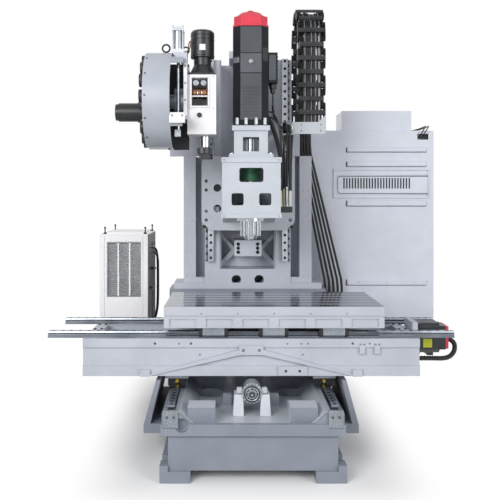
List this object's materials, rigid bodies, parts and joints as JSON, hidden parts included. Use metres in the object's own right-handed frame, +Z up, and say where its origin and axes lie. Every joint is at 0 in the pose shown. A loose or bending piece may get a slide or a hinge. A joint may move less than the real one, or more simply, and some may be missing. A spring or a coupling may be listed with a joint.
{
  "type": "cnc machining center",
  "caption": "Bare vertical machining center: base, saddle, T-slot table, column, spindle head, arm tool changer, cable chain, cabinet and chiller.",
  "frame": {"origin": "middle of the four foundation bolts, at floor level", "axes": "+X to the operator's right, +Y from the operator to the column, +Z up"},
  "size_m": [2.573, 2, 2.7912],
  "materials": {
    "casting_paint": "satin",
    "base_paint": "satin",
    "light_paint": "satin",
    "ground_steel": "polished",
    "block_steel": "satin",
    "cast_iron": "machined",
    "dark_motor": "satin",
    "black_paint": "satin",
    "red_cap": "satin",
    "rubber": "matt",
    "chain_nylon": "matt",
    "sheet_paint": "satin",
    "white_paint": "satin",
    "grille_grey": "satin",
    "green_paint": "satin",
    "bronze": "machined",
    "aluminium": "satin"
  },
  "bodies": {
    "base": {"base": "base_paint", "column": "casting_paint", "y_rails": "ground_steel", "y_rail_stops": "block_steel", "y_screw_bearings": "block_steel", "y_motor": "dark_motor", "z_rails": "ground_steel", "z_screw_bearings": "casting_paint", "z_motor": "dark_motor", "changer_bracket": "casting_paint", "cam_box": "light_paint", "cam_box_motor": "black_paint", "magazine_cover": "sheet_paint", "magazine_axle": "cast_iron", "magazine_motor": "black_paint", "air_cylinder": "aluminium", "cabinet": "sheet_paint", "cabinet_top_box": "sheet_paint", "chiller": "white_paint", "chiller_grille": "grille_grey", "chiller_shelf": "base_paint", "chain_anchor": "casting_paint", "drag_chain": "chain_nylon", "fixed_cables": "rubber"},
    "saddle": {"saddle": "casting_paint", "y_blocks": "block_steel", "x_rails": "ground_steel", "x_screw_bearings": "casting_paint", "x_motor": "black_paint", "x_motor_cap": "red_cap", "x_motor_hose": "rubber", "y_nut": "block_steel"},
    "table": {"table": "cast_iron", "x_blocks": "block_steel", "x_nut": "block_steel"},
    "head": {"head": "light_paint", "z_blocks": "block_steel", "z_nut": "block_steel", "motor_tower": "light_paint", "spindle_motor": "dark_motor", "motor_cap": "red_cap", "spindle_cartridge": "ground_steel", "chain_bracket": "light_paint", "cable_manifold": "black_paint", "head_cables": "rubber"},
    "spindle": {"spindle_shaft": "ground_steel", "drive_coupling": "green_paint"},
    "x_screw": {"x_screw": "ground_steel"},
    "y_screw": {"y_screw": "ground_steel"},
    "z_screw": {"z_screw": "ground_steel"},
    "magazine": {"magazine_disc": "cast_iron", "tool_pots": "black_paint"},
    "change_pot": {"change_pot": "black_paint"},
    "pot_rod": {"pot_rod": "ground_steel"},
    "arm_sleeve": {"arm_sleeve": "ground_steel"},
    "tool_arm": {"tool_arm": "black_paint"},
    "cam_drum": {"cam_drum": "bronze"},
    "door_left": {"cabinet_door_left": "sheet_paint"},
    "door_right": {"cabinet_door_right": "sheet_paint"},
    "door_handle": {"door_handle": "black_paint"}
  },
  "joints": [
    {"name": "y_slide", "type": "slide", "parent": "base", "child": "saddle", "axis": [0, 1, 0], "range_m": [-0.4, 0.2]},
    {"name": "x_slide", "type": "slide", "parent": "saddle", "child": "table", "axis": [1, 0, 0], "range_m": [-0.73, 0.47]},
    {"name": "z_slide", "type": "slide", "parent": "base", "child": "head", "axis": [0, 0, 1], "range_m": [-0.2, 0.4], "deforming": ["drag_chain"]},
    {"name": "spindle_spin", "type": "hinge", "parent": "head", "child": "spindle", "pos_m": [0, -0.508, 1.4], "axis": [0, 0, 1], "continuous": true},
    {"name": "x_screw_spin", "type": "hinge", "parent": "saddle", "child": "x_screw", "pos_m": [0, -0.409, 0.667], "axis": [1, 0, 0], "range_deg": [-20000, 20000]},
    {"name": "y_screw_spin", "type": "hinge", "parent": "base", "child": "y_screw", "pos_m": [0, 0, 0.418], "axis": [0, 1, 0], "range_deg": [-20000, 20000]},
    {"name": "z_screw_spin", "type": "hinge", "parent": "base", "child": "z_screw", "pos_m": [0, 0.162, 1.8], "axis": [0, 0, 1], "range_deg": [-20000, 20000]},
    {"name": "magazine_index", "type": "hinge", "parent": "base", "child": "magazine", "pos_m": [-0.55, -0.508, 2.099], "axis": [1, 0, 0], "continuous": true},
    {"name": "pot_tilt", "type": "hinge", "parent": "magazine", "child": "change_pot", "pos_m": [-0.541, -0.508, 1.875], "axis": [0, 1, 0], "range_deg": [-90, 0]},
    {"name": "pot_rod_slide", "type": "slide", "parent": "base", "child": "pot_rod", "axis": [0, 0, 1], "range_m": [-0.08, 0]},
    {"name": "arm_swing", "type": "hinge", "parent": "base", "child": "arm_sleeve", "pos_m": [-0.272, -0.508, 1.9], "axis": [0, 0, 1], "range_deg": [-8, 18]},
    {"name": "arm_drop", "type": "slide", "parent": "arm_sleeve", "child": "tool_arm", "axis": [0, 0, 1], "range_m": [-0.115, 0]},
    {"name": "cam_spin", "type": "hinge", "parent": "base", "child": "cam_drum", "pos_m": [-0.29, -0.563, 2.143], "axis": [1, 0, 0], "continuous": true},
    {"name": "door_left_hinge", "type": "hinge", "parent": "base", "child": "door_left", "pos_m": [0.478, 0.832, 1.3], "axis": [0, 0, 1], "range_deg": [0, 90]},
    {"name": "door_right_hinge", "type": "hinge", "parent": "base", "child": "door_right", "pos_m": [1.372, 0.832, 1.3], "axis": [0, 0, 1], "range_deg": [-110, 0]},
    {"name": "handle_turn", "type": "hinge", "parent": "door_right", "child": "door_handle", "pos_m": [0.985, 0.84, 1.3185], "axis": [0, 1, 0], "range_deg": [-90, 0]}
  ],
  "couplings": [
    {"joint": "x_screw_spin", "follows": "x_slide", "rad_per_m": 392.7},
    {"joint": "y_screw_spin", "follows": "y_slide", "rad_per_m": 392.7},
    {"joint": "z_screw_spin", "follows": "z_slide", "rad_per_m": 392.7},
    {"joint": "pot_rod_slide", "follows": "pot_tilt", "m_per_rad": 0.05}
  ]
}
